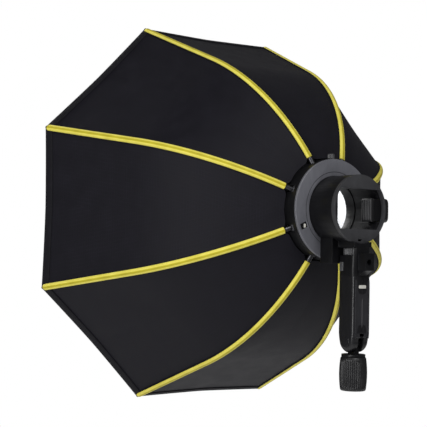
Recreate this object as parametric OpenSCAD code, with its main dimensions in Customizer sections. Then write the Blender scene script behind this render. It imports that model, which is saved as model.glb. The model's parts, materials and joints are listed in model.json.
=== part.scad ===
// Octabox: an eight-ribbed folding light modifier on a flash-head bracket with a grip handle.
// Origin: centre of the stand socket's mouth. +Z runs up the handle, the light leaves along -Y.

/* [Softbox] */
// Radius from the optical axis to a rib tip at the rim
rim_r = 305; // [295:1:315]
// Height of the optical axis above the socket's mouth
axis_z = 242; // [241:1:244]
// Distance of the rib plane in front of the handle's axis
hub_front = 54; // [53:0.5:55]
// Bending radius of the ribs near the hub
bend_r = 280; // [270:1:290]
// Angle of the rib curve at its start, measured from the radial direction
start_angle = 14; // [13:0.5:15]
// Angle of the straight outer part of each rib
outer_angle = 65.5; // [64:0.5:67]
// Radius of a rib rod
rod_r = 2.25; // [2:0.05:2.4]
// Outer radius of a rib sleeve
sleeve_r = 4.8; // [4.4:0.1:5]
// Thickness of the canopy cloth
cloth = 1; // [0.8:0.1:1.4]

/* [Hub] */
// Outer radius of the hub ring
hub_r = 70; // [69:0.5:71]
// Radius of the hub's bore, which turns on the bracket's spigot
hub_bore_r = 44; // [43:0.5:45]
// Radius at which the ribs are hinged
hinge_r = 64; // [63.5:0.5:64.5]

/* [Flash bracket] */
// Outer radius of the barrel
barrel_r = 46.3; // [46:0.1:47]
// Outer radius of the flange
flange_r = 69.9; // [68:0.1:70]
// Height of the slot that takes the flash head
slot_h = 54; // [50:1:56]

/* [Handle] */
// Width of the handle
handle_w = 31; // [30:0.5:32]
// Depth of the handle, front to back
handle_d = 32; // [31:0.5:33]
// Height of the tilt pin above the socket's mouth
tilt_z = 65; // [65:0.5:66]
// Radius of the stand socket, for a 16 mm stand spigot
socket_r = 8.1; // [8.05:0.01:8.15]
// Outer radius of the locking collar
collar_r = 18.6; // [18:0.1:19.5]
// Radius of the umbrella shaft hole, for an 8 mm shaft
umbrella_r = 4.2; // [4.1:0.05:4.3]

/* [Hidden] */
$fn = 72;
EPS = 0.01;
N_RIBS = 8;
RIB_STEP = 360 / N_RIBS;
FIRST_RIB = RIB_STEP / 2;
SIDES = ["left", "right"];

// ---- rib curve in (radius, y): an arc that runs on into a straight line ----
rib_start_r = 50.6;
arc_centre = [rib_start_r - bend_r * sin(start_angle), -bend_r * cos(start_angle)];
function on_arc(a) = arc_centre + bend_r * [sin(a), cos(a)];
function angle_at(r) = asin((r - arc_centre[0]) / bend_r);
arc_end = on_arc(outer_angle);
straight_len = (rim_r - arc_end[0]) / cos(outer_angle);
function on_line(s) = arc_end + s * [cos(outer_angle), -sin(outer_angle)];
rod_from_r = 72;
sleeve_from_r = 80;
sleeve_wall = 2.2;

// ---- canopy panels: half a gore on each side of a rib ----
panel_from_r = 78;
panel_rows = 14;
panel_gap = 0.4;
profile_angles = [for (i = [0:panel_rows]) angle_at(panel_from_r)
    + (outer_angle - angle_at(panel_from_r)) * i / panel_rows];
profile = concat([for (a = profile_angles) [on_arc(a), a]],
    [for (i = [1:5]) [on_line(straight_len * i / 5), outer_angle]]);

// ---- hub hinges ----
hinge = on_arc(angle_at(hinge_r));
hub_y = [-12, 9];
knuckle_w = 8.8;
knuckle_r = 5;
hinge_slot_w = knuckle_w + 0.7;
hinge_slot_back = 3.5;
hinge_slot_r = 57.5;
pin_r = 1.5;
pin_len = 22;
running = 0.06;
ferrule_r = 3.6;
ferrule_len = 13;

// ---- lock screw at the top of the hub ----
lock_y = 3;
lock_screw_r = 2;
lock_knob = [5, 7];

// ---- barrel, flange and rear plate, along the optical axis ----
spigot_wall = 5;
spigot_front = -8;
flange_y = [9.4, 13.5];
barrel_wall = 6;
barrel_back = 58;
plate_back = 64;
plate_rim = 2.6;
catch_angle = 113;
catch_size = [8, 11];

// ---- clamp jaw on the -X side, which slides through the barrel's wall ----
jaw_x = [-58, -30];
jaw_half_h = 15.5;
jaw_y = [38, 57.4];
jaw_clear = 0.35;
pad_t = 4;
pad_half_h = 16;
fixed_pad_x = 34;

// ---- handle ----
corner_r = 6;
wall = 3;
shell_top = 152;
end_r = 14;
head_top = 190.4;
tongue_w = 9;
cheek_gap = 9.4;
eye_r = 9;
tilt_pin_r = 3;
stem_r = 12;
stem_top = 45.2;
ring_top = 48.5;
socket_depth = 40;
collar_z = [0.2, 44.8];
wheel_y = -1.4;
wheel_r = 14.3;
wheel_z = [180.2, 189.6];
wheel_slot_z = [179.8, 190];
stud_r = 4;
stud_bottom = 177;
boss_half_w = 8;
boss_back = 29;
boss_z = [160, 183];
gusset_z = 147;
umbrella_z = 171;
umbrella_from_y = -4;
button_y = [-11.5, -5];
button_z = [159, 171];
button_x = [12, 17];
neck_half_w = 26;
neck_z = 169;
neck_back = -handle_d / 2;
neck_top = 206;
screw_z = [88, 112, 140];

// ---- shared shapes ----
module optical() { translate([0, -hub_front, axis_z]) children(); }
module along_y(from, to) { translate([0, to, 0]) rotate([90, 0, 0]) linear_extrude(to - from) children(); }
module ring_2d(outer, inner) { difference() { circle(outer); circle(inner); } }
module tube_y(outer, inner, from, to) { along_y(from, to) ring_2d(outer, inner); }
module rod_x(r, half) { rotate([0, 90, 0]) cylinder(r = r, h = 2 * half, center = true); }
module block(x, y, z) { translate([x[0], y[0], z[0]]) cube([x[1] - x[0], y[1] - y[0], z[1] - z[0]]); }
module round_rect(w, d, r) {
    square([w - 2 * r, d], center = true);
    square([w, d - 2 * r], center = true);
    for (x = [-1, 1], y = [-1, 1]) translate([x * (w / 2 - r), y * (d / 2 - r)]) circle(r);
}

// A rib's own frame: +Z points out along the rib's radius, Y is the optical axis.
module at_rib(k) { optical() rotate([0, FIRST_RIB + (k - 1) * RIB_STEP, 0]) children(); }
module rib_path(from_r) {
    start = angle_at(from_r);
    translate([0, arc_centre[1], arc_centre[0]]) rotate([0, -90, 0])
        rotate([0, 0, 90 - outer_angle]) rotate_extrude(angle = outer_angle - start)
            translate([bend_r, 0]) children();
    translate([0, arc_end[1], arc_end[0]]) rotate([outer_angle, 0, 0])
        linear_extrude(straight_len) children();
}

// ---- stand end ----
module stand_stem() {
    color("#3c3c40") difference() {
        union() {
            cylinder(r = stem_r, h = stem_top + 1);
            translate([0, 0, stem_top]) cylinder(r = 16, h = ring_top - stem_top);
            block([-tongue_w / 2, tongue_w / 2], [-6, 6], [ring_top - 1, tilt_z]);
            translate([0, 0, tilt_z]) rod_x(eye_r, tongue_w / 2);
        }
        translate([0, 0, -1]) cylinder(r = socket_r, h = socket_depth + 1);
        translate([0, 0, tilt_z]) rod_x(tilt_pin_r + running, tongue_w);
    }
}
module lock_collar() {
    color("#202022") translate([0, 0, collar_z[0]]) linear_extrude(collar_z[1] - collar_z[0])
        ring_2d(collar_r, stem_r + running);
}
module tilt_pin() { color("#b8babd") translate([0, 0, tilt_z]) rod_x(tilt_pin_r, handle_w / 2 - 1); }

// ---- handle ----
module grip_outline() { round_rect(handle_w, handle_d, corner_r); }
module handle_shell(side) {
    color("#26262a") difference() {
        union() {
            translate([0, 0, tilt_z]) linear_extrude(shell_top - tilt_z) grip_outline();
            translate([0, 0, tilt_z]) rod_x(end_r, handle_w / 2);
        }
        block([-side * handle_w / 2 - handle_w / 2 - EPS, -side * handle_w / 2 + handle_w / 2],
            [-handle_d, handle_d], [0, head_top]);
        block([-cheek_gap / 2, cheek_gap / 2], [-handle_d, handle_d], [0, tilt_z + eye_r + 2]);
        block([-handle_w / 2 + wall, handle_w / 2 - wall], [-handle_d / 2 + wall, handle_d / 2 - wall],
            [tilt_z + eye_r + 8, shell_top - wall]);
        translate([0, 0, tilt_z]) rod_x(tilt_pin_r, handle_w / 2 - 1);
        for (z = screw_z) translate([0, 0, z]) rod_x(2.5, handle_w);
    }
}
module handle_left() { handle_shell(-1); }
module handle_right() { handle_shell(1); }
module handle_screws() {
    color("#8a8c90") for (z = screw_z, s = [-1, 1])
        translate([s * (handle_w / 2 - 1.6), 0, z]) difference() {
            rod_x(2.5, 1.2);
            translate([s * 1.2, 0, 0]) rotate([0, 90, 0]) cylinder(r = 1.3, h = 1.4, center = true, $fn = 6);
        }
}
module head_block() {
    color("#2c2c30") difference() {
        union() {
            translate([0, 0, shell_top]) linear_extrude(head_top - shell_top) grip_outline();
            block([-boss_half_w, boss_half_w], [0, boss_back], boss_z);
            translate([-boss_half_w + 1, 0, 0]) rotate([90, 0, 90]) linear_extrude(2 * boss_half_w - 2)
                polygon([[0, gusset_z + 6], [handle_d / 2 - 0.5, gusset_z + 6],
                    [boss_back - 1, boss_z[0] + 1], [0, boss_z[0] + 1]]);
        }
        translate([0, boss_back + 1, umbrella_z]) rotate([90, 0, 0])
            cylinder(r = umbrella_r, h = boss_back + 1 - umbrella_from_y);
        block([-handle_w, handle_w], [-handle_d, wheel_y + wheel_r + 0.5], wheel_slot_z);
        translate([0, wheel_y, stud_bottom - 2]) cylinder(r = stud_r + running, h = 14);
        block([button_x[0] - 2.5, handle_w], [button_y[0] - 0.3, button_y[1] + 0.3],
            [button_z[0] - 0.3, button_z[1] + 0.3]);
    }
}
module thumb_wheel() {
    color("#4a4a4e") {
        translate([0, wheel_y, wheel_z[0]]) cylinder(r = wheel_r, h = wheel_z[1] - wheel_z[0]);
        translate([0, wheel_y, stud_bottom]) cylinder(r = stud_r, h = wheel_z[0] - stud_bottom + EPS);
    }
}
module release_button() { color("#56565a") block(button_x, button_y, button_z); }

// ---- bracket ----
module neck_block() {
    color("#3a3a3e") difference() {
        union() {
            block([-neck_half_w, neck_half_w], [-hub_front + flange_y[1], neck_back], [neck_z, neck_top]);
            block([-handle_w / 2, handle_w / 2], [neck_back - 1, handle_d / 2], [head_top, neck_top]);
        }
        optical() along_y(0, plate_back + 8) circle(barrel_r);
    }
}
module barrel() {
    color("#6e6f73") optical() difference() {
        union() {
            tube_y(barrel_r, barrel_r - barrel_wall, flange_y[0], barrel_back);
            tube_y(hub_bore_r - running, hub_bore_r - spigot_wall, spigot_front, flange_y[0] + EPS);
        }
        block([jaw_x[0], 0], [jaw_y[0] - jaw_clear, barrel_back + 1],
            [-jaw_half_h - jaw_clear, jaw_half_h + jaw_clear]);
    }
}
module flange_ring() {
    color("#7b7c80") optical() difference() {
        tube_y(flange_r, barrel_r, flange_y[0], flange_y[1]);
        rotate([0, catch_angle, 0]) block([-catch_size[0] / 2, catch_size[0] / 2],
            [flange_y[0] - 1, flange_y[1] + 1], [54, 54 + catch_size[1]]);
    }
}
module flange_catch() {
    color("#c9c6bb") optical() rotate([0, catch_angle, 0])
        block([-catch_size[0] / 2, catch_size[0] / 2], [flange_y[0] + 0.8, flange_y[1] - 0.8],
            [54, 54 + catch_size[1]]);
}
module rear_plate() {
    color("#7b7c80") optical() difference() {
        along_y(barrel_back, plate_back) circle(barrel_r);
        along_y(barrel_back - 1, plate_back + 1) {
            intersection() {
                circle(barrel_r - plate_rim);
                square([2 * barrel_r, slot_h], center = true);
            }
            translate([0, -barrel_r + 4.6]) hull() for (x = [-2.2, 2.2]) translate([x, 0]) circle(1.5);
        }
    }
}
module fixed_pad() {
    color("#1c1c1e") optical() intersection() {
        block([fixed_pad_x, barrel_r], jaw_y, [-pad_half_h, pad_half_h]);
        along_y(0, barrel_back) circle(barrel_r - barrel_wall);
    }
}
module clamp_jaw() {
    color("#1f1f22") optical() difference() {
        block(jaw_x, jaw_y, [-jaw_half_h, jaw_half_h]);
        for (s = [-1, 1]) block([jaw_x[0] - 1, jaw_x[0] + 1.2], [jaw_y[0] - 1, jaw_y[1] + 1],
            [s * jaw_half_h - 1, s * jaw_half_h + 1]);
    }
}
module jaw_pad() {
    color("#2e2e31") optical() block([jaw_x[1], jaw_x[1] + pad_t], jaw_y, [-pad_half_h, pad_half_h]);
}

// ---- hub ----
module hinge_bars(r, half) {
    for (k = [1:N_RIBS]) rotate([0, FIRST_RIB + (k - 1) * RIB_STEP, 0])
        translate([0, hinge[1], hinge[0]]) rod_x(r, half);
}
module hub_ring() {
    color("#17171a") optical() difference() {
        tube_y(hub_r, hub_bore_r, hub_y[0], hub_y[1]);
        for (k = [1:N_RIBS]) rotate([0, FIRST_RIB + (k - 1) * RIB_STEP, 0])
            block([-hinge_slot_w / 2, hinge_slot_w / 2], [hub_y[0] - 1, hinge_slot_back],
                [hinge_slot_r, hub_r + 2]);
        hinge_bars(pin_r, pin_len / 2);
        translate([0, lock_y, 0]) cylinder(r = lock_screw_r + running, h = hub_r + 5);
    }
}
module hinge_pins() { color("#c2c4c8") optical() hinge_bars(pin_r, pin_len / 2); }
module lock_screw() {
    color("#2a2a2c") optical() translate([0, lock_y, 0]) {
        translate([0, 0, hub_bore_r + 1]) cylinder(r = lock_screw_r, h = hub_r - hub_bore_r);
        translate([0, 0, hub_r + 0.4]) cylinder(r = lock_knob[0], h = lock_knob[1]);
    }
}

// ---- ribs ----
module rib(k) {
    color("#9b9ca0") at_rib(k) difference() {
        union() {
            translate([0, hinge[1], hinge[0]]) rod_x(knuckle_r, knuckle_w / 2);
            translate([0, hinge[1], hinge[0]]) rotate([angle_at(hinge_r) + 1, 0, 0])
                cylinder(r = ferrule_r, h = ferrule_len);
            rib_path(rod_from_r) circle(rod_r);
        }
        translate([0, hinge[1], hinge[0]]) rod_x(pin_r + running, knuckle_w);
    }
}
module rib_sleeve(k) {
    color("#d8c83c") at_rib(k) rib_path(sleeve_from_r) ring_2d(sleeve_r, sleeve_r - sleeve_wall);
}

// ---- canopy: each panel runs from its rib's sleeve to the middle of the gore ----
function lane(p, side, depth, t) = let (r = p[0][0] - depth * sin(p[1]), y = p[0][1] - depth * cos(p[1]),
    near = sleeve_r + panel_gap, far = r * sin(RIB_STEP) / 2 - panel_gap, x = near + (far - near) * t)
    [side * x, y, r - x * tan(RIB_STEP / 2)];
module panel(k, side) {
    rows = len(profile);
    points = [for (p = profile, c = [[0, 0], [0, 1], [cloth, 1], [cloth, 0]])
        lane(p, side, c[0], c[1])];
    walls = [for (i = [0:rows - 2], c = [0:3]) let (a = 4 * i + c, b = 4 * i + (c + 1) % 4)
        [a, b, b + 4, a + 4]];
    ends = [[3, 2, 1, 0], [for (c = [0:3]) 4 * (rows - 1) + c]];
    faces = concat(walls, ends);
    color("#1e1d23") at_rib(k) polyhedron(points,
        side > 0 ? faces : [for (f = faces) [for (i = [len(f) - 1:-1:0]) f[i]]]);
}

stand_stem();
lock_collar();
tilt_pin();
handle_left();
handle_right();
handle_screws();
head_block();
thumb_wheel();
release_button();
neck_block();
barrel();
flange_ring();
flange_catch();
rear_plate();
fixed_pad();
clamp_jaw();
jaw_pad();
hub_ring();
hinge_pins();
lock_screw();
for (k = [1:N_RIBS]) {
    rib(k);
    rib_sleeve(k);
    panel(k, -1);
    panel(k, 1);
}
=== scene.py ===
# %% [markdown]
# # A folding octabox, built around its mechanical frame
# The object is an eight-ribbed softbox on a flash bracket with a grip handle. The mechanical parts come
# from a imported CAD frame, which this lesson never moves. Blender adds what CAD leaves plain: stretched
# cloth, binding tape, moulded edges, ribbed rubber and the finish of every surface.

# %% Load the frame
import json
import math
import bpy
import bmesh
import numpy as np
from mathutils import Matrix, Vector


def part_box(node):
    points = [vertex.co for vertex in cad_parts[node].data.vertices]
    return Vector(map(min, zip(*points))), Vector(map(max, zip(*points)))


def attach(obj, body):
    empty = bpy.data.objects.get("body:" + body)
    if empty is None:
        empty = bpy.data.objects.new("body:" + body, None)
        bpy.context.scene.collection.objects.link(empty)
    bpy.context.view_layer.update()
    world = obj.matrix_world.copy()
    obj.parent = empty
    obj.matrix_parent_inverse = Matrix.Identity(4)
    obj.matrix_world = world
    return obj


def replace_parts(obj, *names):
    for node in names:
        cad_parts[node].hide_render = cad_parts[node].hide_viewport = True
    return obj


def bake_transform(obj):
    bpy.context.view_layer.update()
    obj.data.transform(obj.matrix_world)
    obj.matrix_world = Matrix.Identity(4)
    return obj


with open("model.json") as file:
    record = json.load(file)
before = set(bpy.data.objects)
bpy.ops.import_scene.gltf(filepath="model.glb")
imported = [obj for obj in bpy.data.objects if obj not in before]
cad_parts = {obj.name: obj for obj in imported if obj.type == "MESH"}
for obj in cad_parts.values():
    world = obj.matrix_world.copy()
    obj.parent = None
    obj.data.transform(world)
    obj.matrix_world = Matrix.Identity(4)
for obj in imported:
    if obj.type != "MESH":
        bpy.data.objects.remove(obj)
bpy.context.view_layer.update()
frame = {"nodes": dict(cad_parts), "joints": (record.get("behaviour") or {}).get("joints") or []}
joints = {j["name"]: j for j in frame["joints"]}
nodes = frame["nodes"]
MM = 0.001

# %% [markdown]
# ## Camera
# The camera comes first, because the framing decides how much detail each piece needs. It stands behind
# and to the left of the object, a little below the middle, and looks slightly up. It could be aimed with a
# constraint, but a plain matrix made from a direction and a roll has nothing left to evaluate later.

# %% Camera
CAMERA_AT = Vector((1.0347, 1.1352, 0.1746))
VIEW_DIRECTION = Vector((-0.5765, -0.8162, 0.0380)).normalized()
CAMERA_ROLL = math.radians(1.1)
LENS_MM = 95.9

camera_data = bpy.data.cameras.new("camera")
camera_data.lens = LENS_MM
camera_data.sensor_width = 36
camera_data.clip_end = 20
camera = bpy.data.objects.new("camera", camera_data)
bpy.context.scene.collection.objects.link(camera)
level = VIEW_DIRECTION.cross(Vector((0, 0, 1))).normalized()
right = level * math.cos(CAMERA_ROLL) + level.cross(VIEW_DIRECTION) * math.sin(CAMERA_ROLL)
turned = Matrix((right, right.cross(VIEW_DIRECTION), -VIEW_DIRECTION)).transposed()
camera.matrix_world = Matrix.Translation(CAMERA_AT) @ turned.to_4x4()
bpy.context.scene.camera = camera
print("camera", LENS_MM, "mm lens")

# %% [markdown]
# ## Turning arrays into meshes
# Every new piece is a grid: a shape is worked out for whole arrays of two parameters, and the faces are
# the grid's cells. A grid can close on itself, like a tube, and its ends can be capped.

# %% Mesh helpers
def grid_faces(rows, columns, wrap=False):
    """Each face joins four neighbours of a grid. With wrap, the last column meets the first."""
    row = np.arange(rows - 1)[:, None]
    column = np.arange(columns if wrap else columns - 1)[None, :]
    following = (column + 1) % columns
    corners = (row * columns + column, row * columns + following,
               (row + 1) * columns + following, (row + 1) * columns + column)
    return np.stack([np.broadcast_to(c, (rows - 1, column.size)).ravel() for c in corners], axis=1)


def make_piece(name, points, faces, material, uv=None):
    """One mesh object from an array of points and an m by 4 array of faces; a -1 makes a face a triangle."""
    mesh = bpy.data.meshes.new(name)
    mesh.from_pydata(points.reshape(-1, 3).tolist(), [], [[i for i in f if i >= 0] for f in faces.tolist()])
    if uv is not None:
        corner = np.empty(len(mesh.loops), dtype=np.int32)
        mesh.loops.foreach_get("vertex_index", corner)
        layer = mesh.uv_layers.new(name="UVMap")
        layer.data.foreach_set("uv", uv.reshape(-1, 2)[corner].astype(np.float32).ravel())
    mesh.polygons.foreach_set("use_smooth", [True] * len(mesh.polygons))
    mesh.update()
    mesh.materials.append(material)
    piece = bpy.data.objects.new(name, mesh)
    bpy.context.scene.collection.objects.link(piece)
    return piece


def face_outwards(piece):
    """Recalculates the normals of a closed mesh, so that all of them point out."""
    b = bmesh.new()
    b.from_mesh(piece.data)
    bmesh.ops.remove_doubles(b, verts=b.verts, dist=1e-7)
    bmesh.ops.recalc_face_normals(b, faces=b.faces)
    b.to_mesh(piece.data)
    b.free()
    return piece


def closed_tube(name, rings, material, uv=None):
    """A tube through rings (rows by columns by 3), capped by a fan of triangles at both ends."""
    rows, columns = rings.shape[:2]
    points = np.concatenate([rings.reshape(-1, 3), rings[:1].mean(axis=1), rings[-1:].mean(axis=1)])
    around = np.arange(columns)
    after = (around + 1) % columns
    none = np.full(columns, -1)
    last = (rows - 1) * columns
    start = np.stack([np.full(columns, rows * columns), after, around, none], axis=1)
    end = np.stack([np.full(columns, rows * columns + 1), last + around, last + after, none], axis=1)
    faces = np.concatenate([grid_faces(rows, columns, wrap=True), start, end])
    if uv is not None:
        uv = np.concatenate([uv.reshape(-1, 2), uv[:1].mean(axis=1), uv[-1:].mean(axis=1)])
    return face_outwards(make_piece(name, points, faces, material, uv))


def signed_power(values, power):
    """The size of each value to a power, with the value's own sign."""
    return np.sign(values) * np.abs(values) ** power


def add_modifier(piece, kind, **settings):
    modifier = piece.modifiers.new(kind.lower(), kind)
    for key, value in settings.items():
        setattr(modifier, key, value)
    return modifier


# %% [markdown]
# ## Materials
# A finish that is the same all over is a number on the shader. What varies over the surface, such as a
# weave or a moulded grain, is worked out by texture nodes from the piece's own coordinates, so that it
# stays with the piece when a joint moves. A small helper adds a node and joins its inputs in one line.

# %% Material helpers
class Finish:
    """A material with a Principled shader. add() makes a node, and its inputs are values or other sockets."""

    def __init__(self, name, colour, roughness, metallic=0.0, **shader):
        self.material = bpy.data.materials.new(name)
        self.material.use_nodes = True
        self.tree = self.material.node_tree
        self.shader = self.tree.nodes["Principled BSDF"]
        self.material.diffuse_color = (*colour, 1)
        self.shader.inputs["Base Color"].default_value = (*colour, 1)
        self.shader.inputs["Roughness"].default_value = roughness
        self.shader.inputs["Metallic"].default_value = metallic
        for key, value in shader.items():
            self.shader.inputs[key.replace("_", " ")].default_value = value

    def add(self, kind, out=0, settings=None, **inputs):
        node = self.tree.nodes.new("ShaderNode" + kind)
        for key, value in (settings or {}).items():
            setattr(node, key, value)
        for key, value in inputs.items():
            socket = node.inputs[int(key[1:])] if key[0] == "i" and key[1:].isdigit() else node.inputs[key]
            if isinstance(value, bpy.types.NodeSocket):
                self.tree.links.new(value, socket)
            else:
                socket.default_value = value
        return node.outputs[out]

    def place(self, which="Object", scale=(1, 1, 1), turn=(0, 0, 0)):
        """The piece's own coordinates (Object or UV, both in metres), scaled and turned."""
        source = self.add("TexCoord", out=which)
        return self.add("Mapping", Vector=source, Scale=scale, Rotation=turn)

    def noise(self, where, scale, detail=3.0):
        return self.add("TexNoise", Vector=where, Scale=scale, Detail=detail)

    def lines(self, where, across, period):
        """Even lines along one direction: a sine wave of the given period in metres, from 0 to 1."""
        return self.add("TexWave", settings={"bands_direction": across}, out="Fac", Vector=where,
                        Scale=math.pi / (10 * period))

    def maths(self, operation, a, b=0.5):
        return self.add("Math", settings={"operation": operation}, i0=a, i1=b)

    def ramp(self, fac, stops):
        node = self.tree.nodes.new("ShaderNodeValToRGB")
        self.tree.links.new(fac, node.inputs["Fac"])
        elements = node.color_ramp.elements
        while len(elements) < len(stops):
            elements.new(0.5)
        for element, (position, colour) in zip(elements, stops):
            element.position = position
            element.color = (*colour, 1)
        return node.outputs["Color"]

    def remap(self, fac, low, high):
        return self.add("MapRange", Value=fac, **{"To Min": low, "To Max": high})

    def colour(self, socket):
        self.tree.links.new(socket, self.shader.inputs["Base Color"])

    def roughness(self, socket):
        self.tree.links.new(socket, self.shader.inputs["Roughness"])

    def bump(self, height, depth, strength=1.0):
        """Adds relief of the given depth in metres, on top of any relief already there."""
        inputs = {"Height": height, "Distance": depth, "Strength": strength}
        before = self.shader.inputs["Normal"].links
        if before:
            inputs["Normal"] = before[0].from_socket
        self.tree.links.new(self.add("Bump", **inputs), self.shader.inputs["Normal"])


# %% [markdown]
# ## Cloth finishes
# The canopy is black nylon with a silver coating inside. Its yarns are too fine to be seen one by one and
# only break up the highlight, while a ripstop thread every few millimetres gives faint lines. The binding
# is a woven yellow tape with a row of stitches on each edge. Its colour is painted paler towards its edges
# and
# darker along its middle ridge: a painted highlight on the edges and painted shade on the ridge, on top of
# uneven real tone from noise. Weaves are worked out from the UV, which is in metres along and across each
# cloth, so a yarn has its real width.

# %% Cloth
def black_nylon():
    f = Finish("black_nylon", (0.011, 0.0105, 0.015), 0.6, Sheen_Weight=0.03, Sheen_Roughness=0.4,
               Specular_IOR_Level=0.12)
    cloth = f.place("UV")
    weft = f.lines(cloth, "Y", 0.0011)
    warp = f.lines(cloth, "X", 0.0009)
    ripstop = f.maths("MAXIMUM", f.maths("POWER", f.lines(cloth, "Y", 0.0042), 14.0),
                      f.maths("POWER", f.lines(cloth, "X", 0.0052), 18.0))
    mottle = f.noise(cloth, 38.0, 5.0)
    thread = f.maths("MULTIPLY_ADD", ripstop, 0.35)
    f.colour(f.ramp(f.maths("ADD", f.maths("MULTIPLY", mottle, 0.6), f.maths("MULTIPLY", ripstop, 0.3)),
                    [(0.15, (0.0036, 0.0033, 0.0056)), (0.55, (0.0053, 0.0049, 0.008)),
                     (1.0, (0.016, 0.015, 0.0225))]))
    f.roughness(f.remap(mottle, 0.5, 0.7))
    f.bump(f.maths("ADD", f.maths("MULTIPLY", weft, warp), thread), 0.00016, 0.6)
    f.bump(f.noise(cloth, 14.0, 3.0), 0.0012, 0.35)
    return f.material


def silver_coating():
    f = Finish("silver_coating", (0.72, 0.73, 0.75), 0.34, metallic=0.75)
    cloth = f.place("UV")
    crinkle = f.noise(cloth, 60.0, 6.0)
    diagonal = f.place("UV", turn=(0, 0, 0.785))
    diamonds = f.maths("MULTIPLY", f.lines(diagonal, "X", 0.003), f.lines(diagonal, "Y", 0.003))
    f.colour(f.ramp(crinkle, [(0.2, (0.6, 0.61, 0.64)), (0.8, (0.82, 0.83, 0.85))]))
    f.roughness(f.remap(crinkle, 0.28, 0.5))
    f.bump(f.maths("ADD", diamonds, f.maths("MULTIPLY", crinkle, 2.0)), 0.0004, 0.6)
    return f.material


def yellow_tape():
    f = Finish("yellow_tape", (0.62, 0.53, 0.045), 0.62, Sheen_Weight=0.08, Sheen_Roughness=0.5,
               Specular_IOR_Level=0.3)
    tape = f.place("UV")
    cross = f.lines(tape, "Y", 0.0014)
    ribs = f.lines(tape, "X", 0.0012)
    wear = f.noise(tape, 55.0, 5.0)
    # Painted highlight and shade: the colour is lighter away from the tape's middle, where light catches its
    # edges, and darker along the ridge.
    off_centre = f.maths("ABSOLUTE", f.add("SeparateXYZ", Vector=tape))
    edge = f.add("MapRange", Value=off_centre, **{"From Min": 0.0011, "From Max": 0.0019})
    f.colour(f.ramp(f.maths("ADD", f.maths("MULTIPLY", wear, 0.5), f.maths("MULTIPLY", edge, 0.5)),
                    [(0.12, (0.3, 0.25, 0.006)), (0.38, (0.44, 0.375, 0.01)), (0.62, (0.53, 0.465, 0.048)),
                     (0.88, (0.66, 0.59, 0.1))]))
    f.roughness(f.remap(wear, 0.5, 0.75))
    f.bump(f.maths("ADD", cross, ribs), 0.0002, 0.7)
    return f.material


def black_webbing():
    colour = (0.0036, 0.0034, 0.005)
    f = Finish("black_webbing", colour, 0.7, Sheen_Weight=0.025, Sheen_Roughness=0.5, Specular_IOR_Level=0.12)
    tape = f.place("UV")
    twill = f.lines(f.place("UV", turn=(0, 0, 0.6)), "X", 0.0012)
    wear = f.noise(tape, 70.0, 4.0)
    f.colour(f.ramp(wear, [(0.25, tuple(c * 0.7 for c in colour)), (0.8, tuple(c * 1.7 for c in colour))]))
    f.bump(f.maths("MULTIPLY", twill, f.lines(tape, "Y", 0.001)), 0.0002, 0.7)
    return f.material


def stitch_thread(name, colour):
    f = Finish(name, colour, 0.55, Sheen_Weight=0.1, Sheen_Roughness=0.4)
    where = f.place("Object")
    f.colour(f.ramp(f.noise(where, 900.0, 2.0), [(0.3, tuple(c * 0.7 for c in colour)), (0.8, colour)]))
    f.bump(f.noise(where, 2500.0, 1.0), 0.0001, 0.5)
    return f.material


# %% [markdown]
# ## Moulded, rubber and metal finishes
# Moulded plastic gets a fine grain and a slightly uneven gloss, because a perfectly even gloss is what gives
# a computer-made part away. Rubber and painted castings share that function with other sizes of grain. Bare
# metal is drawn or turned, so its grain runs one way, and it has a function of its own.

# %% Hard finishes
def moulded(name, colour, roughness, grain=1500.0, depth=0.00005, spread=0.25, wear=1.5, shine=0.35):
    """Fine grain as relief, and slow noise that varies the colour and the gloss. The colour is darker by
    spread in the hollows of that noise, and wear times as light on its crests."""
    f = Finish(name, colour, roughness, Specular_IOR_Level=shine)
    where = f.place("Object")
    cloudy = f.noise(where, 34.0, 6.0)
    scuffs = f.noise(f.place("Object", scale=(1, 1, 0.2)), 260.0, 4.0)
    f.colour(f.ramp(f.maths("ADD", f.maths("MULTIPLY", cloudy, 0.55), f.maths("MULTIPLY", scuffs, 0.45)),
                    [(0.3, tuple(c * (1 - spread) for c in colour)), (0.55, colour),
                     (0.78, tuple(min(1, c * wear) for c in colour))]))
    f.roughness(f.remap(scuffs, roughness - 0.09, roughness + 0.12))
    f.bump(f.noise(where, grain, 2.0), depth, 0.7)
    return f.material


def metal(name, colour, roughness):
    """Drawn or turned metal: noise that is forty times as fine along Z as across it."""
    f = Finish(name, colour, roughness, metallic=1.0)
    grain = f.noise(f.place("Object", scale=(1, 1, 40)), 90.0, 5.0)
    f.colour(f.ramp(grain, [(0.3, tuple(c * 0.78 for c in colour)), (0.7, colour)]))
    f.roughness(f.remap(grain, roughness - 0.08, roughness + 0.15))
    f.bump(grain, 0.00004, 0.5)
    return f.material


NYLON, SILVER, YELLOW = black_nylon(), silver_coating(), yellow_tape()
WEBBING = black_webbing()
YELLOW_THREAD = stitch_thread("yellow_thread", (0.72, 0.67, 0.15))
BLACK_THREAD = stitch_thread("black_thread", (0.05, 0.05, 0.058))
BLACK_PLASTIC = moulded("black_plastic", (0.004, 0.004, 0.0048), 0.34, shine=0.2)
GLOSS_PLASTIC = moulded("gloss_plastic", (0.006, 0.006, 0.007), 0.2, depth=0.00002, shine=0.5)
HUB_PLASTIC = moulded("hub_plastic", (0.004, 0.004, 0.0046), 0.34, shine=0.22)
GRIP_PLASTIC = moulded("grip_plastic", (0.0065, 0.0065, 0.0076), 0.3, grain=1100.0, depth=0.00004, shine=0.32)
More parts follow.
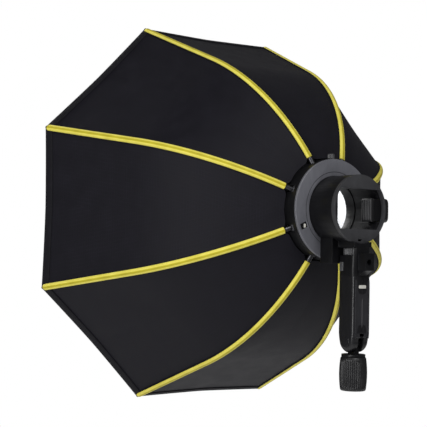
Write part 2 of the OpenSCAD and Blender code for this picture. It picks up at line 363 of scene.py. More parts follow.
# Painted light: a paler copy of the grip's black plastic, for the rear face of the handle, where the light
# falls brighter.
PAINTED_LIGHT_PANEL_PLASTIC = moulded("panel_plastic", (0.017, 0.017, 0.0195), 0.32, shine=0.4)
GREY_METAL = moulded("grey_cast", (0.09, 0.091, 0.104), 0.4, grain=1900.0, spread=0.15, wear=1.2, shine=0.5)
PLATE_METAL = moulded("plate_cast", (0.028, 0.0282, 0.031), 0.42, grain=1900.0, wear=1.3, shine=0.4)
DARK_GREY = moulded("dark_grey", (0.045, 0.045, 0.048), 0.36, shine=0.5)
RUBBER = moulded("collar_rubber", (0.007, 0.007, 0.008), 0.36, grain=700.0, depth=0.0001, wear=2.0)
PALE_PLASTIC = moulded("pale_plastic", (0.5, 0.49, 0.45), 0.4, wear=1.1)
STEEL = metal("turned_steel", (0.62, 0.63, 0.65), 0.28)
ROD_METAL = metal("blackened_rod", (0.06, 0.06, 0.065), 0.36)
print("materials", len(bpy.data.materials))

# %% [markdown]
# ## The rib's curve
# All the cloth hangs on eight equal ribs, so one function gives the whole shape. Near the hub a rib is an
# arc, and further out it runs straight to its tip. Measuring along the rib, and not along a radius, keeps
# the weave and the stitches evenly spaced where the rib turns steep.

# %% Rib curve
RIM_RADIUS = 305 * MM
BEND_RADIUS = 280 * MM
START_RADIUS = 50.6 * MM
START_ANGLE = math.radians(14)
OUTER_ANGLE = math.radians(65.5)
GORE = math.radians(45)
RIBS = range(1, 9)
SIDES = ((-1, "left"), (1, "right"))
AXIS_AT = np.array(joints["hub_turn"]["pos_m"])
ARC_CENTRE = (START_RADIUS - BEND_RADIUS * math.sin(START_ANGLE), -BEND_RADIUS * math.cos(START_ANGLE))
ARC_LENGTH = BEND_RADIUS * (OUTER_ANGLE - START_ANGLE)
STRAIGHT = (RIM_RADIUS - (ARC_CENTRE[0] + BEND_RADIUS * math.sin(OUTER_ANGLE))) / math.cos(OUTER_ANGLE)
RIB_LENGTH = ARC_LENGTH + STRAIGHT


def rib_curve(s):
    """Radius, forward position (-Y is the front) and slope at a length s along the rib.
    On the arc the slope grows evenly with s; past it the slope stays and the point moves on in a line."""
    slope = np.minimum(START_ANGLE + s / BEND_RADIUS, OUTER_ANGLE)
    beyond = np.maximum(s - ARC_LENGTH, 0)
    radius = ARC_CENTRE[0] + BEND_RADIUS * np.sin(slope) + beyond * math.cos(OUTER_ANGLE)
    y = ARC_CENTRE[1] + BEND_RADIUS * np.cos(slope) - beyond * math.sin(OUTER_ANGLE)
    return radius, y, slope


def length_at(radius):
    """The length along the arc at which the rib reaches a radius: the slope's sine grows with the radius."""
    return BEND_RADIUS * (np.arcsin((radius - ARC_CENTRE[0]) / BEND_RADIUS) - START_ANGLE)


def at_rib(k, across, outwards, y):
    """Points in rib k's frame (across it, out along its radius, along the axis) turned to their place:
    X is across times the cosine plus outwards times the sine of the rib's angle, and Z is outwards times the
    cosine less across times the sine. Rib 1 stands half a gore from the top."""
    angle = GORE * (k - 0.5)
    x = across * math.cos(angle) + outwards * math.sin(angle)
    z = outwards * math.cos(angle) - across * math.sin(angle)
    return np.stack(np.broadcast_arrays(x, y, z), axis=-1) + AXIS_AT


print("rib length", round(RIB_LENGTH, 4), "tip", [round(float(v), 4) for v in rib_curve(RIB_LENGTH)[:2]])

# %% [markdown]
# ## The canopy
# The real canopy is eight gores of coated nylon, each stretched between two ribs. Cloth between two curved
# ribs is pulled straight across and can't bulge, so it sinks a little between them, and its free front edge
# pulls back into a shallow curve. Each gore is two halves that meet on its middle line, each half built in
# its own rib's frame. The surface is a formula, because a cloth simulation would give the same tight skin
# with less control. Solidify adds the thickness and the silver inner side.

# %% Half gores
CLOTH = 0.7 * MM
THROAT = 72 * MM
HINGE_NOTCH, NOTCH_WIDTH = 7 * MM, 6 * MM
SINK = 0.008
EDGE_PULL = 1.6 * MM
ROWS, COLUMNS = 84, 30
FLAT_FROM = 60 * MM
PUCKER, PUCKER_WAVE = 0.45 * MM, 7.3 * MM
BILLOW, BILLOW_WAVE = 0.5 * MM, 41 * MM
FLAT_SLACK = 1.01


def gore_point(s, t):
    """Across, outwards and y at length s and share t of the way from the rib to the gore's middle.
    The middle lies at half the chord. The cloth sinks below the chord by 1-(1-t)^2 of a small share of the
    radius, so it is level at the middle; nearer the hub than FLAT_FROM it doesn't sink. Fine waves from the
    stitching die away as the exponential of t, and a slow billow is a sine that is zero at rib and middle."""
    radius, y, slope = rib_curve(s)
    middle = radius * math.sin(GORE) / 2
    across = t * middle
    pucker = PUCKER * np.sin(s / PUCKER_WAVE) * np.exp(-t * 9) * np.minimum(t * 12, 1)
    billow = BILLOW * np.sin(s / BILLOW_WAVE + 2 * t) * t * (1 - t) * 4
    sink = SINK * radius * (1 - (1 - t) ** 2) * np.clip((radius - FLAT_FROM) / FLAT_FROM, 0, 1)
    sink = sink + pucker + billow
    return across, radius - across * math.tan(GORE / 2) - sink * np.sin(slope), y - sink * np.cos(slope)


def throat_edge(t):
    """Where the cloth begins: on a circle of radius THROAT about the axis, cut back round each hinge. A share
    t of the gore at rib radius r lies at r times the length of (t sin 45 / 2, 1 - t sin 45 / 2 tan 22.5)."""
    half = math.sin(GORE) / 2
    reach = THROAT / np.hypot(half * t, 1 - half * t * math.tan(GORE / 2))
    reach = reach + HINGE_NOTCH * np.exp(-(t * half * THROAT / NOTCH_WIDTH) ** 2)
    return length_at(reach)


def front_edge(t):
    """Where the cloth ends: at the rib's tip, and EDGE_PULL short of that length at the middle."""
    return RIB_LENGTH - EDGE_PULL * (1 - (1 - t) ** 2)


def half_gore(k, side, word):
    """A grid over length and share, from the throat to the front edge. Also gives the size it has when laid
    flat: its greatest width and length, measured along the cloth."""
    t = np.linspace(0, 1, COLUMNS)[None, :] ** 1.15
    reach = front_edge(t)
    begin = throat_edge(t)
    s = begin + (reach - begin) * np.linspace(0, 1, ROWS)[:, None]
    across, outwards, y = gore_point(s, t)
    points = at_rib(k, side * across, outwards, y)
    faces = grid_faces(ROWS, COLUMNS)
    if side > 0:
        faces = faces[:, ::-1]
    uv = np.stack([side * across, s + 0 * across], axis=-1)
    piece = make_piece(f"gore_{k}_{word}", points, faces, NYLON, uv)
    piece.data.materials.append(SILVER)
    width = np.linalg.norm(np.diff(points, axis=1), axis=2).sum(axis=1)
    return piece, float(width.max()), float(s.max() - s.min())


def sharpen_border(piece):
    """Marks the edges that have one face, so that Solidify's rim doesn't blur the shading along them."""
    b = bmesh.new()
    b.from_mesh(piece.data)
    for edge in b.edges:
        edge.smooth = not edge.is_boundary
    b.to_mesh(piece.data)
    b.free()


def cloth_area(piece):
    return sum(p.area for p in piece.data.polygons)


gores, flat_sizes = {}, {}
for k in RIBS:
    for side, word in SIDES:
        gore, width, length = half_gore(k, side, word)
        gores[k, word] = gore
        sharpen_border(gore)
        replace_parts(gore, f"panel_{k}_{word}")
        flat_sizes[k, word] = (width * FLAT_SLACK, length * FLAT_SLACK), cloth_area(gore)
        solid = add_modifier(gore, "SOLIDIFY", thickness=CLOTH, offset=-1, material_offset=1)
        solid.material_offset_rim = 0
print("half gores", len(gores), "each", round(cloth_area(gores[1, "left"]), 4), "m2")

# %% [markdown]
# ## Front hem
# The front edge of the canopy is folded over a webbing band and sewn down twice. It is a flat closed tube
# that follows each half gore's front edge.

# %% Front hem
HEM_WIDTH = 13 * MM
HEM_THICK = 1.1 * MM
HEM_PAST_EDGE = 0.8 * MM
HEM_UV_LENGTH = 115 * MM


def edge_frames(k, side, t, inset):
    """Points and surface normals at a distance inset from the front edge of a half gore. The normal is the
    cross product of small steps along the rib and across the gore; the last goes backwards at the middle."""
    def placed(s, share):
        across, outwards, y = gore_point(s, share)
        return at_rib(k, side * across, outwards, y)

    reach = front_edge(t) - inset
    base = placed(reach, t)
    along = placed(reach + 0.5 * MM, t) - base
    step = np.where(t > 0.98, -0.01, 0.01)
    over = (placed(reach, t + step) - base) * step[..., None]
    normal = np.cross(along, over) * -side
    return base, normal / np.linalg.norm(normal, axis=-1, keepdims=True)


def front_hem(k, side, word):
    """Each ring is a flat rounded loop: a superellipse whose width lies along the cloth."""
    rows, columns = 40, 16
    t = np.linspace(0, 1, rows)
    phase = np.linspace(0, 2 * math.pi, columns, endpoint=False)
    width = signed_power(np.cos(phase), 0.35)
    height = signed_power(np.sin(phase), 0.6)
    inset = HEM_WIDTH / 2 - HEM_PAST_EDGE - width[None, :] * HEM_WIDTH / 2
    base, normal = edge_frames(k, side, np.broadcast_to(t[:, None], (rows, columns)), inset)
    rings = base + normal * (height[None, :, None] * (HEM_THICK + CLOTH / 2) - CLOTH / 2)
    uv = np.stack(np.broadcast_arrays(inset, t[:, None] * HEM_UV_LENGTH), axis=-1)
    return closed_tube(f"hem_{k}_{word}", rings, WEBBING, uv)


hems = {}
for k in RIBS:
    for side, word in SIDES:
        hems[k, word] = front_hem(k, side, word)
print("hems", len(hems))

# %% [markdown]
# ## Stitches
# A row of stitches is up to a hundred equal small beads, so it is one mesh: a little bar, copied by array
# arithmetic to every place along a line and turned to lie along it.

# %% Stitch rows
STITCH_GAP = 0.45


def stitch_row(name, line, normal, length, width, material):
    """Beads along a line of points (n by 3). The line is resampled at even steps; each bead is a three-sided
    bar with pinched ends, whose long side follows the line and whose height follows the normal."""
    steps = np.linalg.norm(np.diff(line, axis=0), axis=1)
    travelled = np.concatenate([[0], np.cumsum(steps)])

    def sampled(values, where):
        return np.stack([np.interp(where, travelled, values[:, i]) for i in range(3)], axis=1)

    count = int(travelled[-1] / (length * (1 + STITCH_GAP)))
    at = (np.arange(count) + 0.5) * travelled[-1] / count
    middle = sampled(line, at)
    ahead = sampled(line, at + length / 2) - middle
    ahead /= np.linalg.norm(ahead, axis=1, keepdims=True)
    up = sampled(normal, at)
    up /= np.linalg.norm(up, axis=1, keepdims=True)
    sideways = np.cross(ahead, up)
    corner = np.array([(-1, 0, 0), (-0.45, -1, 0), (-0.45, 0, 1), (-0.45, 1, 0),
                       (0.45, -1, 0), (0.45, 0, 1), (0.45, 1, 0), (1, 0, 0)], float)
    points = (middle[:, None] + ahead[:, None] * corner[None, :, :1] * length / 2
              + sideways[:, None] * corner[None, :, 1:2] * width / 2
              + up[:, None] * (corner[None, :, 2:] * width * 0.55 - 0.05 * MM))
    cell = np.array([(0, 2, 1, -1), (0, 3, 2, -1), (0, 1, 3, -1), (1, 2, 5, 4), (2, 3, 6, 5),
                     (3, 1, 4, 6), (7, 4, 5, -1), (7, 5, 6, -1), (7, 6, 4, -1)])
    shifted = cell[None] + 8 * np.arange(count)[:, None, None]
    faces = np.where(cell[None] < 0, -1, shifted).reshape(-1, 4)
    return face_outwards(make_piece(name, points, faces, material))


hem_stitches = {}
for k in RIBS:
    for side, word in SIDES:
        t = np.linspace(0.06, 0.99, 60)
        hem_stitches[k, word] = []
        for i, inset in enumerate((2.2 * MM, 9.6 * MM)):
            base, normal = edge_frames(k, side, t, inset)
            row = stitch_row(f"hem_stitch_{k}_{word}_{i}", base + normal * HEM_THICK, normal,
                             2.6 * MM, 0.7 * MM, BLACK_THREAD)
            hem_stitches[k, word].append(row)
print("rows of hem stitches", sum(len(rows) for rows in hem_stitches.values()))

# %% [markdown]
# ## Binding tape over the ribs
# A yellow tape covers each rib from just outside the hub to its tip. Over the rod it stands up in a
# soft ridge, and its edges lie flat on the cloth. Its section is one closed outline carried along the rib.
# Both ends are closed by making the last sections smaller, as a quarter circle does: quickly at the hub,
# where the tape is cut square, and over half the tape's width at the tip, which is round. Under the cloth
# a black pocket holds the rod, and a row of stitches runs along each edge of the tape.

# %% Binding tape
TAPE_FROM = length_at(77 * MM)
TAPE_TO = RIB_LENGTH - 1 * MM
TAPE_HALF = 4.7 * MM
TAPE_END = 1.2 * MM
TAPE_RISE, TAPE_LIP, TAPE_UNDER = 2.4 * MM, 0.7 * MM, 0.9 * MM
POCKET_HALF, POCKET_RISE, POCKET_UNDER = 5.4 * MM, 0.05 * MM, 3 * MM
POCKET_FROM, SEWN_FROM = TAPE_FROM + 2 * MM, TAPE_FROM + 3 * MM
SEWN_TO = RIB_LENGTH - 5 * MM
STITCH_ACROSS, STITCH_LIFT = 3.65 * MM, 1.28 * MM


def rib_band(k, name, material, start, end, half, top, bottom, tip=TAPE_END, lip=0.0):
    """A ridge-shaped closed tube. Across it runs a cosine. Above the cloth the height is the top times a
    power of the sine above one, which gives a soft ridge, plus the lip times a power below one, which gives
    the edges their thickness; below it is the bottom times a power of the sine. TAPE_END at the start, and
    tip at the end, shrink as the square root of 1 - u^2."""
    rows, columns = 150, 28
    quarter = 1 - np.cos(np.linspace(0, math.pi / 2, 8))
    s = np.concatenate([start + TAPE_END * quarter, np.linspace(start + TAPE_END, end - tip, rows)[1:-1],
                        end - tip * quarter[::-1]])[:, None]
    u = np.clip(1 - np.minimum((s - start) / TAPE_END, (end - s) / tip), 0, 1)
    size = np.maximum(np.sqrt(1 - u ** 2), 0.03)
    phase = np.linspace(0, 2 * math.pi, columns, endpoint=False)[None, :]
    across = half * np.cos(phase) * size
    rise = np.abs(np.sin(phase))
    height = np.where(np.sin(phase) > 0, top * rise ** 1.35 + lip * rise ** 0.4, -bottom * rise ** 0.8)
    height = height * size ** 0.6
    radius, y, slope = rib_curve(s)
    rings = at_rib(k, across, radius + height * np.sin(slope), y + height * np.cos(slope))
    uv = np.stack(np.broadcast_arrays(across, s), axis=-1)
    return closed_tube(name, rings, material, uv)


tapes = {}
for k in RIBS:
    tape = rib_band(k, f"binding_{k}", YELLOW, TAPE_FROM, TAPE_TO, TAPE_HALF, TAPE_RISE, TAPE_UNDER,
                    tip=TAPE_HALF, lip=TAPE_LIP)
    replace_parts(tape, f"rib_sleeve_{k}")
    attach(tape, f"rib_{k}")
    pocket = rib_band(k, f"rib_pocket_{k}", WEBBING, POCKET_FROM, SEWN_TO, POCKET_HALF, POCKET_RISE,
                      POCKET_UNDER)
    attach(pocket, f"rib_{k}")
    tapes[k] = [tape, pocket]
    radius, y, slope = rib_curve(np.linspace(SEWN_FROM, SEWN_TO, 200))
    rib_normal = at_rib(k, 0, np.sin(slope), np.cos(slope)) - AXIS_AT
    for side, word in SIDES:
        line = at_rib(k, side * STITCH_ACROSS, radius, y) + STITCH_LIFT * rib_normal
        row = stitch_row(f"binding_stitch_{k}_{word}", line, rib_normal, 2.3 * MM, 0.55 * MM, YELLOW_THREAD)
        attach(row, f"rib_{k}")
        tapes[k].append(row)
print("binding tapes", len(tapes), "each", round(TAPE_TO - TAPE_FROM, 3), "m long")

# %% [markdown]
# ## Throat cloths
# Between the hub and the canopy a black cloth closes the gap round each rib's hinge, so that no light leaks
# out behind. It is eight sectors, one for each rib, as a ring in one piece would tear when the ribs fold.

# %% Throat cloths
THROAT_INNER, THROAT_OUTER = 57 * MM, 84 * MM
BEND_FROM = 66 * MM
IN_FRONT_OF_HUB = -13 * MM
BELOW_RIB = 5.5 * MM


def throat_cloth(k):
    """A sector between two mid-gore planes. It is level in front of the hub, and further out it keeps
    BELOW_RIB in front of the rib's own curve."""
    rows, columns = 16, 21
    radius = np.linspace(THROAT_INNER, THROAT_OUTER, rows)[:, None]
    across = np.linspace(-1, 1, columns)[None, :] * radius * math.sin(GORE) / 2
    y = np.minimum(rib_curve(length_at(radius))[1] - BELOW_RIB, IN_FRONT_OF_HUB)
    points = at_rib(k, across, radius - np.abs(across) * math.tan(GORE / 2), y)
    uv = np.stack(np.broadcast_arrays(across, radius), axis=-1)
    piece = make_piece(f"throat_{k}", points, grid_faces(rows, columns), WEBBING, uv)
    sharpen_border(piece)
    add_modifier(piece, "SOLIDIFY", thickness=0.6 * MM, offset=-1)
    start, end = (at_rib(k, 0, radius, IN_FRONT_OF_HUB) for radius in (BEND_FROM, THROAT_OUTER))
    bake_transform(piece)
    return piece


throats = [throat_cloth(k) for k in RIBS]
print("throat cloths", len(throats))

# %% [markdown]
# ## Cloth that crosses a joint
# When a rib folds, its own edge of each half gore goes with it, while the gore's middle is pulled in. Here
# every half gore, hem and hem stitch has its placement baked into its mesh, last for each piece, when its
# mesh is final.

# %% Baking the cloth's placement
GATHER_FROM, GATHER_TO = 30 * MM, 120 * MM
for k in RIBS:
    for side, word in SIDES:
        start, end = (at_rib(k, side * across, 0.2, -0.2) for across in (GATHER_FROM, GATHER_TO))
        sewn_on = [hems[k, word], *hem_stitches[k, word]]
        for piece in [gores[k, word], *sewn_on]:
            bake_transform(piece)

# %% [markdown]
# ## Softening the machined parts
# A moulded or cast part never has a knife edge: the small rounds along its edges catch the light and give
# it its size. A CAD node's mesh isn't changed, so a copy is cleaned, its flat triangles are joined into
# faces, and a Bevel modifier rounds what is left.

# %% Softened copies of CAD parts
def softened(name, node, body, material, width):
    """A copy of a CAD node with its edges rounded by a bevel of the given width in metres."""
    mesh = nodes[node].data.copy()
    mesh.name = name
    b = bmesh.new()
    b.from_mesh(mesh)
    bmesh.ops.remove_doubles(b, verts=b.verts, dist=0.01 * MM)
    bmesh.ops.dissolve_degenerate(b, dist=0.005 * MM, edges=b.edges)
    bmesh.ops.dissolve_limit(b, angle_limit=math.radians(1.5), verts=b.verts, edges=b.edges)
    b.to_mesh(mesh)
    b.free()
    mesh.materials.clear()
    mesh.materials.append(material)
    mesh.polygons.foreach_set("use_smooth", [True] * len(mesh.polygons))
    mesh.update()
    piece = bpy.data.objects.new(name, mesh)
    bpy.context.scene.collection.objects.link(piece)
    add_modifier(piece, "BEVEL", width=width, segments=3, limit_method="ANGLE",
                 angle_limit=math.radians(32), harden_normals=True)
    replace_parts(piece, node)
    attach(piece, body)


softened("hub_ring_moulded", "hub_ring", "hub", HUB_PLASTIC, 1.1 * MM)
softened("flange_cast", "flange_ring", "handle", GREY_METAL, 0.9 * MM)
softened("barrel_cast", "barrel", "handle", BLACK_PLASTIC, 0.5 * MM)
softened("rear_plate_cast", "rear_plate", "handle", PLATE_METAL, 0.9 * MM)
softened("neck_cast", "neck_block", "handle", BLACK_PLASTIC, 0.9 * MM)
softened("head_moulded", "head_block", "handle", BLACK_PLASTIC, 0.6 * MM)
softened("catch_moulded", "flange_catch", "handle", HUB_PLASTIC, 0.5 * MM)
softened("button_moulded", "release_button", "release_button", DARK_GREY, 0.7 * MM)
softened("stem_turned", "stand_stem", "stand", BLACK_PLASTIC, 0.5 * MM)
softened("fixed_pad_rubber", "fixed_pad", "handle", RUBBER, 0.6 * MM)

KEPT_FINISHES = {"tilt_pin": STEEL, "handle_screws": ROD_METAL, "hinge_pins": ROD_METAL}
KEPT_FINISHES.update({f"rib_{k}": ROD_METAL for k in RIBS})
for name, material in KEPT_FINISHES.items():
    nodes[name].data.materials.clear()
    nodes[name].data.materials.append(material)
print("softened parts and", len(KEPT_FINISHES), "kept parts")

# %% [markdown]
# ## Turned and knurled parts
# The locking collar, the thumb wheel and the screw knob are all turned shapes whose radius also changes
# with the angle: ribs on the collar, teeth on the wheel. One function makes their rings from a profile of
# height and radius, with a depth of ribbing that fades where the profile says so. The collar has a bore, so
# its profile goes up the outside and down the inside, and its last ring is joined to its first.

# %% Ribbed turnings
STEPS_PER_TOOTH = 8


def ribbed_rings(profile, teeth, sharpness):
    """Rings of a surface of revolution. Profile rows are height, radius and tooth depth. The radius at an
    angle is the profile's less the depth times a raised cosine of teeth times the angle, to a power."""
    profile = np.array(profile, float)
    angle = np.linspace(0, 2 * math.pi, teeth * STEPS_PER_TOOTH, endpoint=False)[None, :]
    groove = (0.5 + 0.5 * np.cos(teeth * angle)) ** sharpness
    radius = profile[:, 1:2] - profile[:, 2:3] * groove
    height = np.broadcast_to(profile[:, :1], radius.shape)
    return np.stack([radius * np.cos(angle), radius * np.sin(angle), height], axis=-1)


def ribbed_turning(name, profile, teeth, sharpness, body, material, centre):
    """A solid turned shape on a vertical axis through the centre."""
    piece = closed_tube(name, ribbed_rings(profile, teeth, sharpness) + np.array(centre), material)
    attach(piece, body)
    return piece


def rounded_profile(bottom, top, radius, depth, corner, bulge=0.0, rows=14):
    """A profile with quarter-round corners, and a side that bulges as a parabola of its height."""
    turn = np.linspace(0, math.pi / 2, 7)
    low = [(bottom + corner * (1 - math.sin(a)), radius - corner * (1 - math.cos(a)), 0) for a in turn[::-1]]
    up = np.linspace(bottom + corner, top - corner, rows)
    share = (up - bottom) / (top - bottom)
    fade = np.clip(np.minimum(share, 1 - share) * 14 - 0.9, 0, 1)
    side = [(h, radius + bulge * 4 * s * (1 - s), depth * f) for h, s, f in zip(up, share, fade)]
    high = [(top - corner * (1 - math.sin(a)), radius - corner * (1 - math.cos(a)), 0) for a in turn]
    return low + side + high


# %% Collar
COLLAR_BORE = 12.1 * MM
COLLAR_BULGE = 1.7 * MM
low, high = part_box("lock_collar")
outside = rounded_profile(low[2], high[2], high[0] - COLLAR_BULGE, 0.9 * MM, 1.6 * MM,
                          bulge=COLLAR_BULGE, rows=26)
inside = [(high[2], COLLAR_BORE, 0), (low[2], COLLAR_BORE, 0)]
rings = ribbed_rings(outside + inside, teeth=38, sharpness=2.2)
rings = np.concatenate([rings, rings[:1]])
collar = face_outwards(make_piece("collar_ribbed", rings, grid_faces(*rings.shape[:2], wrap=True), RUBBER))
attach(collar, "collar")
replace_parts(collar, "lock_collar")
print("collar from", round(low[2], 4), "to", round(high[2], 4))

# %% Thumb wheel and lock screw
def pin_profile(bottom, top, radius, tall, deep):
    """A profile without ribs, with a chamfer at the bottom. Its top is hidden in the knob above it."""
    return [(bottom, radius - deep, 0), (bottom + tall, radius, 0), (top, radius, 0)]


low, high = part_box("thumb_wheel")
centre = ((low[0] + high[0]) / 2, (low[1] + high[1]) / 2, 0)
wheel = ribbed_turning("thumb_wheel_knurled",
                       rounded_profile(high[2] - 9.4 * MM, high[2], high[0], 0.6 * MM, 0.8 * MM),
                       36, 1.2, "thumb_wheel", DARK_GREY, centre)
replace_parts(wheel, "thumb_wheel")
ribbed_turning("thumb_wheel_stud", pin_profile(low[2], high[2] - 9 * MM, 3.9 * MM, 0.6 * MM, 0.7 * MM),
               12, 1, "thumb_wheel", STEEL, centre)

low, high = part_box("lock_screw")
centre = ((low[0] + high[0]) / 2, (low[1] + high[1]) / 2, 0)
knob = ribbed_turning("lock_screw_knob",
                      rounded_profile(high[2] - 7 * MM, high[2], 4.95 * MM, 0.45 * MM, 0.9 * MM),
                      20, 1.2, "lock_screw", DARK_GREY, centre)
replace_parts(knob, "lock_screw")
ribbed_turning("lock_screw_shaft", pin_profile(low[2], high[2] - 6.9 * MM, 1.95 * MM, 0.4 * MM, 0.35 * MM),
               12, 1, "lock_screw", STEEL, centre)
print("wheel, screw and their shafts")

# %% [markdown]
# ## Handle
# The handle is two moulded shells with a slight waist and a seam down the front and the back. Each shell is
# a loft: a rounded rectangle, cut at the seam, whose width and depth change smoothly with height, and whose
# lower end is a half round about the tilt pin, cut away inside for the stand's tongue. A loft holds the
# long soft highlights that a bevelled box would lose.

# %% Handle shells
PIN_AT = joints["handle_tilt"]["pos_m"][2]
left_low, left_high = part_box("handle_left")
HANDLE_TOP = left_high[2]
HALF_WIDTH, HALF_DEPTH = -left_low[0], left_high[1]
END_RADIUS = PIN_AT - left_low[2]
SQUARENESS = 0.33
WAIST = 0.012
SHOULDER = 12 * MM
TAPER_FROM, TAPER_LENGTH, TAPER = 6 * MM, 21 * MM, 0.62
SEAM = 0.18 * MM
TONGUE_SLOT, SLOT_TOP = 4.6 * MM, 11 * MM


def handle_shell(name, side):
    """Rings are stacked from the bottom to the top. A ring's outline is a superellipse, cut off at the seam,
    or at the tongue's slot up to SLOT_TOP above the pin. Below the pin its depth is the chord of a circle
    about the pin, and it narrows as the square root of 1 - u^2."""
    z = np.concatenate([PIN_AT - END_RADIUS * np.cos(np.linspace(0.12, math.pi / 2, 18)),
                        np.linspace(PIN_AT, HANDLE_TOP, 60)[1:]])[:, None]
    share = np.clip((z - PIN_AT) / (HANDLE_TOP - PIN_AT), 0, 1)
    waist = 1 - WAIST * np.sin(share * math.pi) ** 2
    bottom = np.sqrt(np.maximum(END_RADIUS ** 2 - np.minimum(z - PIN_AT, 0) ** 2, 0))
    depth = (bottom + (HALF_DEPTH - END_RADIUS) * np.clip((z - PIN_AT) / SHOULDER, 0, 1)) * waist
    taper = np.clip((PIN_AT + TAPER_FROM - z) / TAPER_LENGTH, 0, 1)
    width = (HALF_WIDTH - 0.1 * MM) * np.sqrt(1 - TAPER * taper ** 2) * waist
    turn = np.linspace(-math.pi / 2, math.pi / 2, 48)[None, :]
    inner_x = SEAM + np.clip((PIN_AT + SLOT_TOP - z) / (0.3 * MM), 0, 1) * TONGUE_SLOT
    closing = np.linspace(1, -1, 14)[None, 1:-1]
    x = np.concatenate([np.maximum(width * np.cos(turn) ** SQUARENESS, inner_x),
                        np.broadcast_to(inner_x, (z.size, closing.size))], axis=1)
    y = np.concatenate([depth * signed_power(np.sin(turn), SQUARENESS), depth * closing], axis=1)
    piece = closed_tube(name, np.stack(np.broadcast_arrays(x * side, y, z), axis=-1), GRIP_PLASTIC)
    add_modifier(piece, "BEVEL", width=0.5 * MM, segments=2, limit_method="ANGLE",
                 angle_limit=math.radians(50))
    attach(piece, "handle")
    return piece


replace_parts(handle_shell("handle_shell_left", -1), "handle_left")
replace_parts(handle_shell("handle_shell_right", 1), "handle_right")
print("handle from", round(PIN_AT - END_RADIUS, 4), "to", round(HANDLE_TOP, 4))

# %% [markdown]
# ## Plates and pebbles
# Two more helpers make the small parts. A superellipse, whose cosine and sine are raised to a power, gives
# every outline its soft corners with one number, and the number runs from an oval to a nearly square box.

# %% Plates and pebbles
def rounded_plate(name, centre, size, squareness, body, material, normal="Y", dome=0.0):
    """A thin plate with round corners: rings shrink from the full outline to the middle, first up the edge
    and then across the top. The outline is a superellipse, and dome raises the middle as a parabola."""
    phase = np.linspace(0, 2 * math.pi, 64, endpoint=False)[None, :]
    power = 2 / squareness
    u = signed_power(np.cos(phase), power)
    v = signed_power(np.sin(phase), power)
    edge = np.array([(0.96, -0.5), (1, -0.42), (1, 0.3), (0.985, 0.44), (0.95, 0.5)])
    inward = np.linspace(0.9, 0.02, 10)
    scale = np.concatenate([edge[:, 0], inward])[:, None]
    lift = np.concatenate([edge[:, 1] * size[2], 0.5 * size[2] + dome * (1 - inward ** 2)])[:, None]
    plate = np.stack(np.broadcast_arrays(u * scale * size[0] / 2, v * scale * size[1] / 2, lift), axis=-1)
    plate = plate[..., [0, 2, 1] if normal == "Y" else [2, 0, 1]]
    if normal == "-X":
        plate = plate * [-1, 1, 1]
    piece = closed_tube(name, plate + np.array(centre), material)
    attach(piece, body)
    return piece


def pebble(name, centre, size, body, material, square=0.42):
    """A box with soft corners: in each direction a cosine or sine of the angles, raised to a power below
    one, times half the size."""
    lift = np.linspace(-math.pi / 2 + 0.02, math.pi / 2 - 0.02, 41)[:, None]
    turn = np.linspace(0, 2 * math.pi, 80, endpoint=False)[None, :]
    shares = (np.cos(lift) ** square * signed_power(np.cos(turn), square),
              np.cos(lift) ** square * signed_power(np.sin(turn), square),
              signed_power(np.sin(lift), square) + 0 * turn)
    rings = np.stack([share * side / 2 + at for share, side, at in zip(shares, size, centre)], axis=-1)
    piece = closed_tube(name, rings, material)
    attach(piece, body)
    return piece


# %% [markdown]
# ## Small fittings
# These are what the eye uses to read the size: a panel between two rails on the back of the handle, painted
# lighter than the grip for the light on that face, with a dark plate for the painted shade of a recess, a
# groove and a plain pale plate, a cap over each end of the tilt pin, the jaw with its ribbed pad, a black
# bead round the flange for the painted shade of its groove, and a tab on its catch. Each is a few lines with
# the helpers above.

# %% Fittings on the handle
# Painted light: the rear panel and its rails use the paler copy of the black plastic, for the light on the
# rear face.
REAR_FITTINGS = [
    # name, x, height, wide, tall, thick (mm), squareness, finish, slot
    ("rear_panel", 0, 109, 22, 76, 0.5, 12, PAINTED_LIGHT_PANEL_PLASTIC, "moulded_black"),
    ("handle_plate", 0, 138.5, 13, 4.5, 0.7, 6, PALE_PLASTIC, "pale_catch"),
    ("handle_groove", 0, 104, 1.6, 38, 0.9, 3, DARK_GREY, "grey_plastic"),
    # Painted shade: a dark plate raised on the panel where a recess would hold shade.
    ("rear_recess", 0, 77, 8, 13, 0.5, 2.4, HUB_PLASTIC, "moulded_black"),
    ("rail_left", -11.6, 109, 1.8, 78, 1.9, 5, PAINTED_LIGHT_PANEL_PLASTIC, "moulded_black"),
    ("rail_right", 11.6, 109, 1.8, 78, 1.9, 5, PAINTED_LIGHT_PANEL_PLASTIC, "moulded_black"),
]
REAR_FACE = HALF_DEPTH * 0.99 - 0.2 * MM
for name, x, z, wide, tall, thick, squareness, material, slot in REAR_FITTINGS:
    size = (wide * MM, tall * MM, thick * MM)
    fitting = rounded_plate(name, (x * MM, REAR_FACE, z * MM), size, squareness, "handle", material)
for side, word in SIDES:
    centre = (side * HALF_WIDTH * 0.97, 0, PIN_AT)
    cap = rounded_plate(f"pin_cap_{word}", centre, (15 * MM, 15 * MM, 1.2 * MM), 2, "handle", GRIP_PLASTIC,
                        normal="X" if side > 0 else "-X", dome=0.4 * MM)

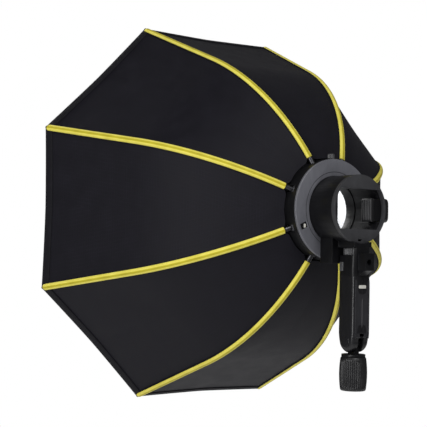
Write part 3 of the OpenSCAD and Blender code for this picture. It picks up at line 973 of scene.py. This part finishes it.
# %% Jaw with its ribbed pad
KNOB_THICK = 12 * MM
KNOB_PROUD = 0.6 * MM
SLIDE_SHORT = 10 * MM
RIB_COUNT = 6
low, high = (np.array(v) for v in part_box("clamp_jaw"))
middle, size = (low + high) / 2, high - low
knob_at = (low[0] + KNOB_THICK / 2 - KNOB_PROUD, middle[1], middle[2])
knob_size = (KNOB_THICK, size[1] + 1.6 * MM, size[2] + 2 * MM)
jaw = pebble("jaw_knob", knob_at, knob_size, "jaw", GLOSS_PLASTIC)
slide = pebble("jaw_slide", middle + [SLIDE_SHORT / 2, 0, 0], size - [SLIDE_SHORT, 0, 0], "jaw",
               BLACK_PLASTIC, square=0.12)
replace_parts(jaw, "clamp_jaw")
softened("jaw_pad_backing", "jaw_pad", "jaw", RUBBER, 0.6 * MM)
low, high = (np.array(v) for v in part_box("jaw_pad"))
for i in range(RIB_COUNT):
    centre = (high[0] - 0.1 * MM, low[1] + (high[1] - low[1]) * (i + 0.5) / RIB_COUNT, (low[2] + high[2]) / 2)
    rib = rounded_plate(f"jaw_rib_{i}", centre, (1.5 * MM, 28 * MM, 2 * MM), 4, "jaw", DARK_GREY, normal="X")
print("jaw with", RIB_COUNT, "ribs on its pad")

# %% Catch and flange groove
# Painted shade: the groove is a thin black bead on the grey flange, standing in for the shade inside a
# groove.
GROOVE_RADIUS = 52 * MM
low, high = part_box("flange_ring")
around = np.linspace(0, 2 * math.pi, 181)[:, None]
section = np.linspace(0, 2 * math.pi, 8, endpoint=False)[None, :]
reach = GROOVE_RADIUS + 0.35 * MM * np.cos(section)
rings = np.stack(np.broadcast_arrays(reach * np.sin(around), high[1] + 0.1 * MM * np.sin(section),
                                     AXIS_AT[2] + reach * np.cos(around)), axis=-1)
groove = make_piece("flange_groove", rings, grid_faces(*rings.shape[:2], wrap=True), HUB_PLASTIC)
groove = face_outwards(groove)
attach(groove, "handle")
low, high = (np.array(v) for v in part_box("flange_catch"))
catch_at = (low + high) / 2 * [1, 0, 1] + [-1.3 * MM, high[1] + 0.1 * MM, 0]
tab = rounded_plate("catch_tab", catch_at, (3.2 * MM, 5.2 * MM, 1.2 * MM), 4, "handle", PALE_PLASTIC)
print("groove radius", GROOVE_RADIUS)

# %% [markdown]
# ## Light and floor
# A broad key lamp stands high behind the box, a narrow upright strip on its +X side draws long highlights
# along the flange and the handle, and a weaker lamp lights the silver inside from the front. The world is
# white to the camera, but dim as a light, so that black parts stay black. The floor is pale and plain, and
# lies well below the part, because a stand would hold the part up.

# %% Floor and lights
FLOOR_AT, FLOOR_HALF = -1.25, 4.0
AMBIENT, BACKDROP = 0.12, 1.0
MIDDLE = (0, -0.15, 0.2)
corners = [(x * FLOOR_HALF, y * FLOOR_HALF, FLOOR_AT) for x, y in ((-1, -1), (1, -1), (1, 1), (-1, 1))]
pale = Finish("pale_floor", (0.9, 0.9, 0.9), 0.9, Emission_Color=(1, 1, 1, 1), Emission_Strength=0.3)
floor = make_piece("floor", np.array(corners), np.array([(0, 1, 2, 3)]), pale.material)


def area_light(name, at, target, size, power):
    """A rectangular lamp, size wide by high, that faces its target."""
    data = bpy.data.lights.new(name, "AREA")
    data.shape = "RECTANGLE"
    data.size, data.size_y = size
    data.energy = power
    light = bpy.data.objects.new(name, data)
    bpy.context.scene.collection.objects.link(light)
    light.location = at
    light.rotation_euler = (Vector(target) - Vector(at)).to_track_quat("-Z", "Y").to_euler()


area_light("key", (0.6, 2.0, 2.0), MIDDLE, (1.2, 1.2), 60)
area_light("left_strip", (1.7, 0.45, 0.3), (0.02, 0, 0.2), (0.22, 1.3), 22)
area_light("front", (0.3, -2.2, 0.9), MIDDLE, (1.4, 1.4), 30)
world = bpy.data.worlds.new("studio")
world.use_nodes = True
background = world.node_tree.nodes["Background"]
background.inputs["Color"].default_value = (1, 1, 1, 1)
ray = world.node_tree.nodes.new("ShaderNodeLightPath")
strength = world.node_tree.nodes.new("ShaderNodeMapRange")
strength.inputs["To Min"].default_value = AMBIENT
strength.inputs["To Max"].default_value = BACKDROP
world.node_tree.links.new(ray.outputs["Is Camera Ray"], strength.inputs["Value"])
world.node_tree.links.new(strength.outputs["Result"], background.inputs["Strength"])
bpy.context.scene.world = world
bpy.context.scene.view_settings.view_transform = "Standard"
print("lamps", len(bpy.data.lights))
